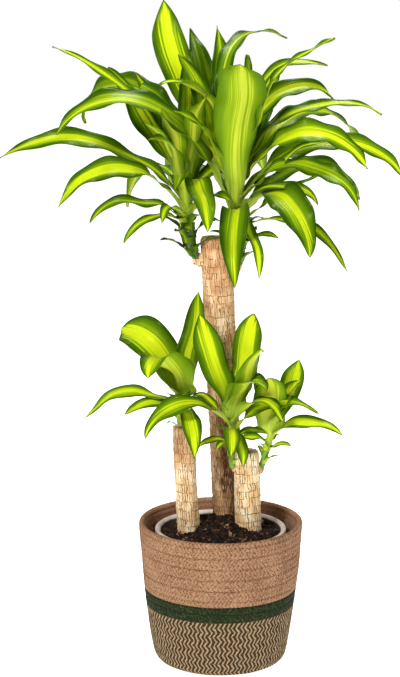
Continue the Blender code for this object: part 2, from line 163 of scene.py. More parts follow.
# Small leaves and leaves behind the rest, which the frame leaves out
SMALL_LEAVES = leaves_of("small_", {
    "top_right": (
        ("mid_right", 0.735, 340, 50, 30, 1.0, 0.170, 0.020, -30),
        ("front_behind", 0.695, 285, 35, 125, 0.8, 0.150, 0.020),
        ("curl_right", 0.700, 345, 45, 30, 1.0, 0.150, 0.020, -30),
        ("stub_right", 0.665, 350, 45, 70, 1.0, 0.055, 0.015, -30),
        ("back_one", 0.750, 75, 54, 115, 1.1, 0.240, 0.036),
        ("back_two", 0.725, 108, 50, 120, 1.1, 0.230, 0.034),
        ("heart_one", 0.772, 165, 78, 20, 1.0, 0.200, 0.040, 40),
        ("heart_two", 0.768, 35, 76, 20, 1.0, 0.190, 0.036, -35),
        ("heart_three", 0.745, 100, 70, 25, 1.0, 0.230, 0.042),
        ("heart_four", 0.750, 215, 74, 60, 1.6, 0.170, 0.030, 30),
    ),
    "top_left": (
        ("short_left", 0.700, 215, 30, 90, 1.0, 0.120, 0.018, 30),
        ("inner_left", 0.760, 215, 75, 40, 1.0, 0.120, 0.020),
        ("back_three", 0.730, 98, 52, 112, 1.1, 0.225, 0.034),
        ("left_one", 0.740, 160, 72, 30, 1.0, 0.230, 0.040, 45),
        ("left_two", 0.735, 60, 74, 25, 1.0, 0.200, 0.040, -20),
        ("left_three", 0.745, 240, 72, 90, 1.8, 0.150, 0.030, 20),
        ("left_four", 0.730, 20, 66, 60, 1.0, 0.150, 0.036, -40),
        ("left_six", 0.752, 238, 80, 35, 1.2, 0.140, 0.040),
        ("left_seven", 0.772, 300, 82, 30, 1.2, 0.140, 0.036),
        ("left_eight", 0.728, 262, 66, 110, 1.3, 0.120, 0.034),
        ("left_nine", 0.712, 320, 58, 90, 1.2, 0.090, 0.026),
        ("left_ten", 0.706, 240, 56, 120, 1.1, 0.080, 0.022),
        ("left_five", 0.760, 140, 80, 40, 1.0, 0.190, 0.036, 30),
    ),
    "left": (
        ("lower_back", 0.400, 92, 45, 100, 1.1, 0.150, 0.028),
        ("lower_sheath", 0.404, 262, 58, 70, 1.2, 0.070, 0.038),
    ),
    "middle": (
        ("middle_rear", 0.380, 100, 48, 100, 1.1, 0.130, 0.028),
        ("middle_low", 0.355, 185, 30, 80, 1.0, 0.050, 0.014, 30),
        ("middle_side", 0.360, 20, 40, 90, 1.0, 0.070, 0.016, -30),
        ("middle_fold", 0.388, 312, 82, 135, 2.0, 0.120, 0.056),
        ("middle_front", 0.374, 268, 35, 112, 0.9, 0.078, 0.027),
        ("middle_low_left", 0.352, 240, 40, 80, 1.0, 0.045, 0.014),
    ),
    "right": (
        ("right_rear", 0.365, 80, 50, 100, 1.1, 0.100, 0.024),
        ("right_low", 0.355, 190, 40, 70, 1.0, 0.045, 0.013, 30),
        ("right_stub", 0.345, 340, 40, 60, 1.0, 0.035, 0.011, -30),
        ("right_front", 0.368, 262, 82, 40, 1.6, 0.110, 0.056),
        ("right_wide", 0.370, 338, 78, 34, 1.2, 0.098, 0.050, -30),
    ),
})

# How leaves are shaped. Shares of a length run from 0 at the base to 1 at the tip.
LEAF_STEPS = 48
LEAF_COLUMNS = 13
LEAF_SHELL = 0.0009       # how thick a finished blade is
SHEATH_ROWS = 6
SHEATH_LENGTH = 0.030     # how far a base clasps down its stem, at most
SHEATH_SHARE = 0.14       # the same as a share of the leaf's length
CLASP = 1.25              # how far round its stem a base reaches each way, in radians
CLASP_END = 0.10          # the share of its length where a leaf has left its stem
CHANNEL = (0.34, 0.52)    # how far a blade is bent up each way from its midrib, in radians
CREASE_DEPTH = 0.07       # how deep the fold at a midrib is, as a share of half the width
CREASE_WIDTH = 0.16       # how wide it is, as the same share
WAVE_DEPTH = 0.0050
WAVE_LENGTH = (0.042, 0.072)
ROCK = radians(11.0)      # how far a blade tips from side to side
SWAY = 0.006              # how far a midrib strays from its curve
WIDEST = 0.54             # the share where a leaf is widest
WIDEST_AT = {
    "leaf_tall_back": 0.66,
    "leaf_front_hanging": 0.40,
    "leaf_front_right": 0.50,
    "leaf_front_upright": 0.62,
    "leaf_lower_broad": 0.70,
    "leaf_lower_folded": 0.50,
    "leaf_middle_tall": 0.60,
    "leaf_middle_back": 0.66,
    "leaf_right_upright": 0.62,
    "leaf_left_front": 0.45,
}
# A blade's width at its base, as a share of its full width: by shoot, and for two single leaves
BASE_SHARE = {"top_left": 0.46, "top_right": 0.46, "left": 0.74, "middle": 0.74, "right": 0.78}
NARROW_BASE = {"leaf_front_upright": 0.20, "leaf_tall_back": 0.36}
# Blades that roll further than their row says, in degrees
ROLLED = {"leaf_front_right": -25}
# Leaves whose tone is given one by one: leaf_tone says what a tone is
TONES = {
    "leaf_tall_back": -0.05,
    "leaf_longest_left": 0.30,
    "leaf_right_bright": -0.02,
    "leaf_longest_right": 0.05,
    "leaf_lower_broad": 0.02,
    "leaf_lower_folded": -0.02,
    "small_right_front": -0.20,
    "small_right_wide": -0.20,
}

# The bracts on a thick shoot and on a thin one, and the stems that they clasp
Bracts = namedtuple("Bracts", "count length tone")
THICK_BRACTS = Bracts(9, 0.042, 0.6)
THIN_BRACTS = Bracts(5, 0.026, 0.0)
THICK_SHOOT = 0.01        # the radius that parts thick shoots from thin ones
GOLDEN_ANGLE = 137.5      # between one bract and the next round a stem, in degrees
STEM_ROWS = 60
STEM_COLUMNS = 24
STEM_RINGS = 14

# How canes look: how wide each one is beside its solid, and how brown it is at its top and lower down.
# The tall cane's brown is partly its own colour and partly painted shade from the canes and leaves in
# front.
CaneLook = namedtuple("CaneLook", "swell brown_top brown_low")
CANE_LOOKS = {
    "cane_tall": CaneLook(0.99, 1.00, 0.78),
    "cane_left": CaneLook(0.99, 0.85, 0.18),
    "cane_right": CaneLook(1.10, 0.15, 0.0),
}
CANE_COLUMNS = 96
BARK_STEP = 0.0020        # between the mesh's rows
RING_GAP = (0.006, 0.016)  # between one leaf scar and the next
BARK_SPLIT = 0.0038       # between fine upright splits
SAWN_RINGS = 8
SAWN_SHARE = 0.91         # how wide the sawn end is within its bark
SAWN_DISH = 0.0016
SAWN_ROUGH = 0.0009
KNOB_SINK = 0.004         # how far a knob's centre is from its shoot's start, in towards the cane
# The woody knob where each shoot leaves its cane: the cane's number, and the knob's half sizes
KNOBS = {
    "top_left": (0, (0.012, 0.010, 0.011)),
    "top_right": (0, (0.011, 0.010, 0.010)),
    "left": (1, (0.007, 0.008, 0.008)),
    "middle": (2, (0.005, 0.005, 0.006)),
    "right": (2, (0.009, 0.008, 0.008)),
}

# Soil, pot and liner
SOIL_RINGS = 70
SOIL_COLUMNS = 200
CHIP_COUNT = 1700
CHIP_SEED = 11
SMALL_CHIPS = 0.94        # the share of chips that are small
CHIP_SIZES = ((0.0010, 0.0036), (0.004, 0.0065))
DARK_CHIPS = 0.88         # the share of chips that are dark
CHIP_TONES = ((-0.05, 0.38), (0.42, 0.78))
POT_COLUMNS = 180
LINER_COLUMNS = 300
LINER_ROWS = 60
LINER_FOOT = 0.0095

# The basket's courses of plait
BAND_BOTTOM = 0.095
BAND_TOP = 0.120
BAND_COURSE = 0.5 * (BAND_TOP - BAND_BOTTOM)
BRAID_COURSE = 0.00875
BRAID_COLUMNS = 640
STITCH_TURNS = 128        # stitches in one round
STITCH_SHIFT = 0.37       # how far each line of stitches is out of step with the next
ZIGZAG_COURSE = 0.0078
ZIGZAG_COLUMNS = 768
ZIGZAG_TURNS = 102
ZIGZAG_SWING = 0.72       # how far a zigzag leans, in its own widths
SEAM_SINK = 0.0006        # how deep the seams between courses lie
RIM_LIFT = 0.004          # how much higher the soft rim stands at the back

# Colours, as linear red, green and blue. A leaf's two faces also have a roughness, and say how
# much of their base is pale.
Face = namedtuple("Face", "name stripe stripe_deep middle margin roughness pale_base")
UPPER_FACE = Face("leaf_upper", (0.60, 0.73, 0.010), (0.33, 0.48, 0.006), (0.128, 0.252, 0.003),
                  (0.022, 0.068, 0.001), 0.29, 0.35)
UNDER_FACE = Face("leaf_under", (0.56, 0.64, 0.045), (0.36, 0.47, 0.014), (0.215, 0.355, 0.008),
                  (0.080, 0.165, 0.003), 0.45, 0.90)
LEAF_BASE = (0.46, 0.58, 0.070)
LEAF_TIP = (0.19, 0.10, 0.035)
LEAF_SHINE = 0.11
LEAF_SHINE_TINT = (0.9, 1.0, 0.25)
STEM_DARK = ((0.014, 0.028, 0.002), (0.040, 0.075, 0.004), (0.110, 0.155, 0.012))
STEM_BRIGHT = ((0.050, 0.140, 0.003), (0.150, 0.320, 0.006), (0.33, 0.50, 0.02))
BARK_PALE = ((0.74, 0.46, 0.210), (1.0, 0.74, 0.41), (1.0, 0.90, 0.64))
BARK_BROWN = ((0.34, 0.155, 0.065), (0.56, 0.31, 0.150), (0.80, 0.55, 0.33))
BARK_CRACK = (0.135, 0.052, 0.014)
BARK_STREAK = (0.38, 0.190, 0.075)
# Painted shade: the shadow of the right cane and the leaves on the tall cane
BARK_PAINTED_SHADE = (0.085, 0.034, 0.012)
SAWN_END = ((0.20, 0.115, 0.085), (0.46, 0.30, 0.22), (0.66, 0.45, 0.27))
SOIL_COLOURS = ((0.004, 0.003, 0.002), (0.028, 0.012, 0.007), (0.130, 0.056, 0.030), (0.42, 0.24, 0.13))
POT_GREY = ((0.030, 0.030, 0.031), (0.075, 0.072, 0.070))
POT_PALE = ((0.50, 0.40, 0.36), (0.70, 0.60, 0.55))
FILM = ((0.30, 0.17, 0.11), (0.50, 0.36, 0.28), (0.85, 0.78, 0.72))
FILM_ALPHA = 0.35
STRAW = ((0.255, 0.128, 0.066), (0.305, 0.165, 0.088), (0.36, 0.200, 0.112))
STRAW_LIGHT = (0.64, 0.44, 0.29)
STRAW_SHADE = (0.15, 0.072, 0.034)
STRAW_HOLE = (0.13, 0.048, 0.018)
STRAW_SEAM = (0.105, 0.046, 0.022)
STRAW_INSIDE = (0.52, 0.270, 0.160)
ZIGZAG = ((0.020, 0.012, 0.004), (0.065, 0.043, 0.022), (0.24, 0.165, 0.092), (0.42, 0.305, 0.180))
ZIGZAG_FADED = (0.125, 0.080, 0.042)
ZIGZAG_TUCK = (0.10, 0.060, 0.028)
BAND = ((0.006, 0.011, 0.004), (0.017, 0.026, 0.008), (0.048, 0.066, 0.030))
BAND_SEAM = (0.010, 0.012, 0.005)
BAND_STITCH = (0.012, 0.008, 0.004)
FLOOR = ((0.93, 0.93, 0.93), (0.97, 0.97, 0.97))
WHITE = (1.0, 1.0, 1.0)

# The studio
Light = namedtuple("Light", "name place target size energy colour")
LIGHTS = (
    Light("key", (-1.5, -2.3, 2.6), (0, 0, 0.55), 0.8, 92, (1.0, 0.98, 0.95)),
    Light("fill", (2.2, -1.9, 1.2), (0, 0, 0.5), 1.6, 15, (0.97, 0.98, 1.0)),
    Light("top", (0.3, 0.6, 2.8), (0, 0, 0.6), 1.0, 46, WHITE),
)
WORLD_LIGHT = 0.25        # how strongly the white surroundings light the plant
FLOOR_GLOW = 1.0
FLOOR_SIZE = 12.0
FLOOR_HEIGHT = -0.0015
CAMERA_PLACE = (-0.0327, -3.0, 1.0955)
CAMERA_TILT = 10.88       # below level, in degrees
CAMERA_LENS = 104.3
CAMERA_SENSOR = 36.0


def clamped(value):
    return min(1.0, max(0.0, value))


def smooth(value):
    """Rises from 0 to 1 as the value goes from 0 to 1, level at both ends."""
    value = clamped(value)
    return value * value * (3 - 2 * value)


def facing(angle):
    """A level line of length 1 that points at an angle."""
    return Vector((cos(angle), sin(angle), 0.0))


def bumps(x, y, z):
    """A cloudy value between about -1 and 1."""
    return noise.noise(Vector((x, y, z)))


# Materials

class Value:
    """A value in a material's node tree. It takes part in sums as a number does."""

    def __init__(self, paint, socket):
        self.paint = paint
        self.socket = socket

    def math(self, operation, *others):
        inputs = dict(enumerate((self, *others)))
        return self.paint.made("ShaderNodeMath", 0, inputs, operation=operation)

    def __add__(self, other):
        return self.math("ADD", other)

    def __sub__(self, other):
        return self.math("SUBTRACT", other)

    def __mul__(self, other):
        return self.math("MULTIPLY", other)

    def __truediv__(self, other):
        return self.math("DIVIDE", other)

    def __abs__(self):
        return self.math("ABSOLUTE")

    def floor(self):
        return self.math("FLOOR")

    def fraction(self):
        return self.math("FRACT")

    def fold(self, length):
        """The value made to run up to a length and back, over and over."""
        return self.math("PINGPONG", length)

    def grey(self, low, high):
        """0 at low and beyond, 1 at high and beyond."""
        inputs = {"Value": self, "From Min": low, "From Max": high}
        return self.paint.made("ShaderNodeMapRange", 0, inputs, interpolation_type="SMOOTHSTEP")

    def ramp(self, places, colours):
        """The colours along the value, each at its own place."""
        node = self.paint.tree.nodes.new("ShaderNodeValToRGB")
        points = node.color_ramp.elements
        while len(points) < len(colours):
            points.new(0.5)
        for point, place, colour in zip(points, places, colours):
            point.position = place
            point.color = (*colour, 1.0)
        self.paint.put(self, node.inputs[0])
        return Value(self.paint, node.outputs[0])


class Paint:
    """A material's node tree, with short calls that add to it."""

    def __init__(self, name, roughness, specular=0.5):
        self.material = bpy.data.materials.new(name)
        self.material.use_nodes = True
        self.tree = self.material.node_tree
        self.shader = self.tree.nodes["Principled BSDF"]
        self.set("Roughness", roughness)
        self.set("Specular IOR Level", specular)

    def set(self, name, value):
        self.put(value, self.shader.inputs[name])

    def put(self, value, socket):
        if isinstance(value, Value):
            self.tree.links.new(value.socket, socket)
        elif socket.type == "RGBA":
            socket.default_value = (*value, 1.0)
        else:
            socket.default_value = value

    def made(self, kind, output, inputs, **settings):
        """An output of a new node, once its inputs and settings are in place."""
        node = self.tree.nodes.new(kind)
        for name, value in settings.items():
            setattr(node, name, value)
        for name, value in inputs.items():
            self.put(value, node.inputs[name])
        return Value(self, node.outputs[output])

    def mix(self, share, first, second):
        return self.made("ShaderNodeMix", 2, {0: share, 6: first, 7: second}, data_type="RGBA")

    def parts(self, vector):
        node = self.tree.nodes.new("ShaderNodeSeparateXYZ")
        self.put(vector, node.inputs[0])
        return [Value(self, socket) for socket in node.outputs]

    def attribute(self, name):
        """A vector that the mesh carries at each point, and its three parts."""
        vector = self.made("ShaderNodeAttribute", "Vector", {}, attribute_name=name)
        return vector, *self.parts(vector)

    def place(self):
        """Where a point is on the object, in metres."""
        return self.made("ShaderNodeTexCoord", "Object", {})

    def noise(self, vector, scale, detail=3.0, rough=0.5):
        """Cloudy greys. A scale of three numbers stretches them."""
        if isinstance(scale, tuple):
            vector = self.made("ShaderNodeMapping", 0, {"Vector": vector, "Scale": scale})
            scale = 1.0
        inputs = {"Vector": vector, "Scale": scale, "Detail": detail, "Roughness": rough}
        return self.made("ShaderNodeTexNoise", "Fac", inputs)

    def luck(self, column, row, output):
        """A random value or colour for each cell of a grid."""
        cell = self.made("ShaderNodeCombineXYZ", 0, {0: column.floor(), 1: row})
        return self.made("ShaderNodeTexWhiteNoise", output, {"Vector": cell}, noise_dimensions="3D")

    def bump(self, height, distance, strength):
        inputs = {"Strength": strength, "Distance": distance, "Height": height}
        self.set("Normal", self.made("ShaderNodeBump", 0, inputs))


def leaf_material(face):
    """A leaf face: a streaky lime stripe between green margins, with fine lengthwise veins.

    The mesh carries "blade": metres across from the midrib, metres along, and a seed;
    and "share": 0 at the midrib to 1 at the margin, 0 at the base to 1 at the tip, and a tone.
    """
    paint = Paint(face.name, face.roughness, LEAF_SHINE)
    paint.set("Specular Tint", LEAF_SHINE_TINT)
    blade, *_ = paint.attribute("blade")
    _, across, along, tone = paint.attribute("share")
    broad = paint.noise(blade, (150.0, 3.0, 1.0), 2.0)
    fine = paint.noise(blade, (360.0, 3.5, 1.0), 3.0, 0.7)
    # The green is darker towards the margin and on a dark leaf
    edge = across + tone * 0.45 + fine * 0.50 - 0.25
    rim = edge.ramp((0.45, 0.95), (face.middle, face.margin))
    green = paint.mix(fine.grey(0.42, 0.62), rim, face.stripe_deep)
    green = paint.mix(across.grey(0.25, 0.70), green, rim)
    # The stripe is made of streaks, fewer towards the margin and on a dark leaf
    lime = broad * 0.8 + fine * 1.5 - across * 1.05 - tone * 0.55 + 0.29
    striped = paint.mix(lime.grey(0.90, 1.02), green, face.stripe_deep)
    striped = paint.mix(lime.grey(1.04, 1.16), striped, face.stripe)
    # The base is pale, and palest on a bright leaf
    base = along.grey(0.42, 0.02) * fine.grey(0.25, 0.60) * (tone * -1.6 + 1.0) * face.pale_base
    based = paint.mix(base, striped, LEAF_BASE)
    blotch = paint.noise(blade, (20.0, 12.0, 1.0), 2.0).grey(0.48, 0.75)
    blotched = paint.mix(blotch * 0.35, based, face.middle)
    # The tone darkens a leaf towards its margin green; for a leaf that points to the back, part of this
    # is painted shade
    toned = paint.mix(tone, blotched, face.margin)
    paint.set("Base Color", paint.mix(along.grey(0.985, 0.999), toned, LEAF_TIP))
    paint.bump(fine, 0.0006, 0.5)
    return paint.material


def stem_material(name, colours):
    """A green stem in patches, from dark to bright."""
    paint = Paint(name, 0.5)
    patches = paint.noise(paint.place(), (60.0, 60.0, 25.0), 4.0)
    paint.set("Base Color", patches.ramp((0.30, 0.52, 0.72), colours))
    paint.bump(patches, 0.001, 0.6)
    return paint.material


def bark_material():
    """Bark in rings, split upright.

    The mesh carries "bark": metres round, metres up, and rings counted from the foot;
    and "tint": how brown the bark is, and how much painted shade darkens it.
    """
    paint = Paint("ringed_bark", 0.8, 0.15)
    bark, around, _, rings = paint.attribute("bark")
    _, brown, painted_shade, _ = paint.attribute("tint")
    broad = paint.noise(bark, (55.0, 30.0, 0.0))
    fibre = paint.noise(bark, (600.0, 70.0, 0.0), 4.0, 0.6)
    pale = broad.ramp((0.30, 0.50, 0.66), BARK_PALE)
    toned = paint.mix(brown, pale, broad.ramp((0.30, 0.50, 0.70), BARK_BROWN))
    streaked = paint.mix(fibre.grey(0.50, 0.68) * 0.45, toned, BARK_STREAK)
    # Fine splits between one ring and the next, which don't line up from ring to ring
    level = rings.floor()
    wobble = paint.noise(bark, (170.0, 110.0, 0.0), 2.0)
    count = around / BARK_SPLIT + level * 0.14 + wobble * 1.8
    chance = paint.luck(count, level, "Value")
    split = abs(count.fraction() - 0.5).grey(0.20, 0.07) * chance.grey(0.10, 0.65)
    # Dark, broken lines at the rings
    broken = paint.noise(bark, (95.0, 60.0, 0.0), 2.0)
    ring = abs(rings.fraction() - 0.5).grey(0.435, 0.485) * broken.grey(0.38, 0.60)
    lines = split.math("MAXIMUM", ring) * 0.92
    lined = paint.mix(lines, streaked, BARK_CRACK)
    # Painted shade where the right cane and the leaves shadow the lower tall cane
    painted_shade_mask = painted_shade * fibre.grey(0.30, 0.55)
    paint.set("Base Color", paint.mix(painted_shade_mask, lined, BARK_PAINTED_SHADE))
    paint.bump(fibre - lines, 0.0009, 0.7)
    return paint.material


def sawn_material():
    """A cane's sawn end: a paler rim round a dark, dried middle.

    The mesh carries "bark": 0 at the middle to 1 at the rim, and metres both ways.
    """
    paint = Paint("sawn_end", 0.8, 0.2)
    spot, outward, *_ = paint.attribute("bark")
    grain = paint.noise(spot, (400.0, 400.0, 1.0))
    paint.set("Base Color", (outward + grain * 0.3).ramp((0.40, 0.75, 1.0), SAWN_END))
    paint.bump(grain, 0.0008, 0.6)
    return paint.material


def soil_material():
    """Dark potting mix. The mesh carries "tone": how pale a crumb is."""
    paint = Paint("potting_mix_look", 0.95, 0.25)
    _, tone, *_ = paint.attribute("tone")
    fine = paint.noise(paint.place(), 520.0, 4.0, 0.6)
    paint.set("Base Color", (tone + fine * 0.5).ramp((0.24, 0.48, 0.80, 1.0), SOIL_COLOURS))
    paint.bump(fine, 0.0015, 1.0)
    return paint.material


def pot_material():
    """Grey plastic inside and out, with a pale band round the rim."""
    paint = Paint("pot_look", 0.45)
    place = paint.place()
    cloud = paint.noise(place, 40.0)
    height = paint.parts(place)[2] + cloud * 0.004
    upper = height.grey(POT_RIM_TOP - 0.0035, POT_RIM_TOP - 0.001)
    grey = cloud.ramp((0.35, 0.65), POT_GREY)
    paint.set("Base Color", paint.mix(upper, grey, cloud.ramp((0.35, 0.65), POT_PALE)))
    paint.bump(paint.noise(place, 300.0, 2.0), 0.0004, 0.4)
    return paint.material


def film_material():
    """A thin, part clear film that is paler along its creases."""
    paint = Paint("liner_look", 0.35, 0.3)
    creases = paint.noise(paint.place(), (60.0, 60.0, 25.0), 4.0, 0.6)
    paint.set("Base Color", creases.ramp((0.40, 0.62, 0.72), FILM))
    paint.set("Alpha", FILM_ALPHA)
    paint.bump(creases, 0.002, 0.8)
    return paint.material


def straw_material():
    """Plaited straw in stitched courses. The mesh carries "weave": turns, height, and 1 inside."""
    paint = Paint("plaited_straw", 0.9, 0.08)
    weave, turns, height, inside = paint.attribute("weave")
    place = paint.place()
    course = (height - BAND_TOP) / BRAID_COURSE
    within = course.fraction()
    line = within * 2.0
    fibre = paint.noise(place, 900.0, 3.0, 0.6)
    base = paint.noise(place, 26.0).ramp((0.30, 0.50, 0.72), STRAW)
    # Strands that cross at a slant, as pale and dark flecks
    strand = turns * STITCH_TURNS + line.fold(1.0) * 0.7 + paint.noise(place, 90.0) * 2.4
    strand = (strand * (2 * pi)).math("SINE")
    fleck = strand * fibre * 1.7
    light = paint.mix(fleck.grey(0.25, 1.0) * 0.34, base, STRAW_LIGHT)
    shaded = paint.mix(fleck.grey(-0.25, -0.9) * 0.40, light, STRAW_SHADE)
    # Stitch holes in two lines to a course, each hole a little out of line, some closed up
    line_number = course.floor() * 2.0 + line.floor()
    count = turns * STITCH_TURNS + line_number * STITCH_SHIFT
    aside, raised, opened = paint.parts(paint.luck(count, line_number, "Color"))
    across = count.fraction() - 0.5 + (aside - 0.5) * 0.5
    upward = line.fraction() - 0.5 + (raised - 0.5) * 0.4
    hole = abs(across).grey(0.24, 0.10) * abs(upward).grey(0.30, 0.14) * opened.grey(0.15, 0.65)
    holed = paint.mix(hole, shaded, STRAW_HOLE)
    # A thin dark seam over each course, deeper in places and at every other course
    depth = paint.noise(weave, (22.0, 115.0, 1.0), 2.0).grey(0.38, 0.62) * 0.40 + 0.36
    seam = abs(within - 0.5).grey(0.37, 0.46) * depth * (course.fold(1.0) * 0.95 + 0.20)
    seamed = paint.mix(seam, holed, STRAW_SEAM)
    paint.set("Base Color", paint.mix(inside * 0.45, seamed, STRAW_INSIDE))
    paint.bump(strand * 0.3 - hole + fibre * 0.6, 0.0009, 0.8)
    return paint.material


def zigzag_material():
    """The basket's foot: zigzags in two straws under a dark green band. It reads "weave" too."""
    paint = Paint("zigzag_straw", 0.9, 0.08)
    _, turns, height, _ = paint.attribute("weave")
    place = paint.place()
    course = height / ZIGZAG_COURSE
    fibre = paint.noise(place, 800.0, 3.0, 0.6)
    wobble = paint.noise(place, 150.0) * 0.9 - 0.45
    wave = (turns * ZIGZAG_TURNS + course.fold(1.0) * ZIGZAG_SWING + wobble).fold(0.5)
    lines = wave.ramp((0.15, 0.25, 0.33, 0.42), ZIGZAG)
    faded = paint.mix(fibre.grey(0.42, 0.66) * 0.55, lines, ZIGZAG_FADED)
    tuck = abs(course.fraction() - 0.5).grey(0.40, 0.50)
    tucked = paint.mix(tuck * 0.40, faded, ZIGZAG_TUCK)
    # The band: two courses with a seam between them, and stitches along its top
    band = paint.noise(place, 330.0, 3.0, 0.7).ramp((0.34, 0.52, 0.66), BAND)
    seam = abs(height - 0.5 * (BAND_BOTTOM + BAND_TOP)).grey(0.0016, 0.0004)
    band = paint.mix(seam * 0.7, band, BAND_SEAM)
    stitch = (turns * ZIGZAG_TURNS).fold(0.5).grey(0.20, 0.10)
    stitch = stitch * height.grey(BAND_TOP - 0.0035, BAND_TOP - 0.0025)
    band = paint.mix(stitch, band, BAND_STITCH)
    upper = (height + wave * 0.003).grey(BAND_BOTTOM - 0.0004, BAND_BOTTOM + 0.0004)
    paint.set("Base Color", paint.mix(upper, tucked, band))
    paint.bump(wave + fibre * 0.35, 0.0012, 0.8)
    return paint.material


def floor_material():
    paint = Paint("studio_floor", 0.9, 0.1)
    paint.set("Base Color", paint.noise(paint.place(), 2.0, 2.0).ramp((0.3, 0.7), FLOOR))
    paint.set("Emission Color", WHITE)
    paint.set("Emission Strength", FLOOR_GLOW)
    return paint.material


# Meshes

def make_piece(name, vertices, faces, materials, attributes=None, smoothed=True):
    """A mesh object that rides on the plant, with its look and the vectors its material reads."""
    mesh = bpy.data.meshes.new(name)
    mesh.from_pydata([tuple(vertex) for vertex in vertices], [], faces)
    for title, values in (attributes or {}).items():
        made = mesh.attributes.new(title, "FLOAT_VECTOR", "POINT")
        made.data.foreach_set("vector", [part for value in values for part in value])
    if smoothed:
        mesh.shade_smooth()
    for material in materials:
        mesh.materials.append(material)
    piece = bpy.data.objects.new(name, mesh)
    bpy.context.scene.collection.objects.link(piece)
    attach(piece, "root")
    return piece


def thicken(piece, thickness):
    """Gives a sheet a thickness, and returns the modifier that does so."""
    shell = piece.modifiers.new("Thickness", "SOLIDIFY")
    shell.thickness = thickness
    return shell


def grid_faces(rows, columns, closed):
    """The quads of a grid of points, row by row; closed joins the last column to the first."""
    faces = []
    for row in range(rows - 1):
        for column in range(columns if closed else columns - 1):
            right = (column + 1) % columns
            low = row * columns
            high = low + columns
            faces.append((low + column, low + right, high + right, high + column))
    return faces


def cap(columns, row=0, upward=False):
    """One face that fills a row of a closed grid."""
    corners = range(row * columns, (row + 1) * columns)
    return tuple(corners if upward else reversed(corners))


def rounded(line, times):
    """The line with its corners cut, so that it bends smoothly. Its ends stay."""
    points = list(line)
    for _ in range(times):
        cut = [points[0]]
        for (ax, ay), (bx, by) in zip(points, points[1:]):
            cut.append((0.75 * ax + 0.25 * bx, 0.75 * ay + 0.25 * by))
            cut.append((0.25 * ax + 0.75 * bx, 0.25 * ay + 0.75 * by))
        cut.append(points[-1])
        points = cut
    return points


def travelled(line):
    """How far along the line each of its points is."""
    lengths = [0.0]
    for (ax, ay), (bx, by) in zip(line, line[1:]):
        lengths.append(lengths[-1] + sqrt((bx - ax) ** 2 + (by - ay) ** 2))
    return lengths


def spaced(line, step):
    """Points along the line at even steps."""
    lengths = travelled(line)
    count = max(2, round(lengths[-1] / step))
    result = []
    index = 0
    for number in range(count + 1):
        wanted = lengths[-1] * number / count
        while index < len(line) - 2 and lengths[index + 1] < wanted:
            index += 1
        share = (wanted - lengths[index]) / max(1e-9, lengths[index + 1] - lengths[index])
        (ax, ay), (bx, by) = line[index], line[index + 1]
        result.append((ax + (bx - ax) * share, ay + (by - ay) * share))
    return result


def turned_points(profile, columns, shape=None):
    """A profile of (radius, height) turned round the plant's axis.

    shape(row, turn, radius, height) may move a point: turn is 0 to 1, and it gives the new two.
    """
    points = []
    for row, (radius, height) in enumerate(profile):
        for column in range(columns):
            turn = column / columns
            reach, level = shape(row, turn, radius, height) if shape else (radius, height)
            points.append(facing(2 * pi * turn) * reach + Vector((0, 0, level)))
    return points


# Leaves

def shoot_at(shoot, share):
    """The shoot's centre at a share of its way up, and its radius there."""
    place = ((1 - share) ** 2 * shoot.start + 2 * share * (1 - share) * shoot.bend
             + share ** 2 * shoot.top)
    if share < 0.4:
        radius = shoot.start_radius + (shoot.middle_radius - shoot.start_radius) * share / 0.4
    else:
        radius = shoot.middle_radius
        radius += (shoot.top_radius - shoot.middle_radius) * (share - 0.4) / 0.6
    return place, radius


def shoot_share(shoot, height):
    """How far up the shoot a height lies."""
    rise = 2 * (shoot.bend.z - shoot.start.z)
    square = shoot.top.z - 2 * shoot.bend.z + shoot.start.z
    offset = shoot.start.z - height
    return (-rise + sqrt(max(0.0, rise * rise - 4 * square * offset))) / (2 * square)


def blade_width(leaf, share):
    """The leaf's width at a share of its length: a clasping base, a broad middle, a point."""
    widest = WIDEST_AT.get(leaf.name, WIDEST)
    if share < widest:
        base_share = NARROW_BASE.get(leaf.name, BASE_SHARE[leaf.shoot])
        base = max(LEAF_BASE_WIDTH, base_share * leaf.width)
        return base + (leaf.width - base) * smooth(share / widest)
    blunt = 2.0 + 8.0 * max(0.0, widest - WIDEST)
    return leaf.width * (1.0 - 0.985 * ((share - widest) / (1.0 - widest)) ** blunt)


def tipped(side, over, angle):
    """A blade's sideways and upward lines, tipped by an angle."""
    return cos(angle) * side + sin(angle) * over, cos(angle) * over - sin(angle) * side


def blade_rows(leaf):
    """Down the sheath and along the blade: the share, the distance, the midrib, the sideways and
    upward lines, and how far the leaf's base is from its stem's centre."""
    shoot = SHOOTS[leaf.shoot]
    start = radians(leaf.azimuth)
    gap = LEAF_THICKNESS / 2 + CLEARANCE
    rows = []
    sheath = min(SHEATH_LENGTH, SHEATH_SHARE * leaf.length)
    for step in range(SHEATH_ROWS):
        drop = sheath * (1 - step / SHEATH_ROWS)
        low_share = shoot_share(shoot, max(shoot.start.z + 0.001, leaf.height - drop))
        place, radius = shoot_at(shoot, low_share)
        midrib = place + facing(start) * (radius + gap - 0.25 * LEAF_THICKNESS)
        side = Vector((sin(start), -cos(start), 0.0))
        rows.append((-drop / leaf.length, -drop, midrib, side, -facing(start), radius + gap))
    place, radius = shoot_at(shoot, shoot_share(shoot, leaf.height))
    reach = radius + gap
    midrib = place + reach * facing(start)
    for step in range(LEAF_STEPS + 1):
        share = step / LEAF_STEPS
        pitch = radians(leaf.rise - leaf.droop * share ** leaf.bend)
        heading = start + radians(leaf.sweep) * share
        along = Vector((cos(pitch) * cos(heading), cos(pitch) * sin(heading), sin(pitch)))
        side = Vector((sin(heading), -cos(heading), 0.0))
        side, over = tipped(side, side.cross(along), radians(leaf.roll) * min(1.0, 2 * share))
        rows.append((share, share * leaf.length, midrib.copy(), side, over, reach))
        midrib = midrib + along * leaf.length / LEAF_STEPS
    return rows


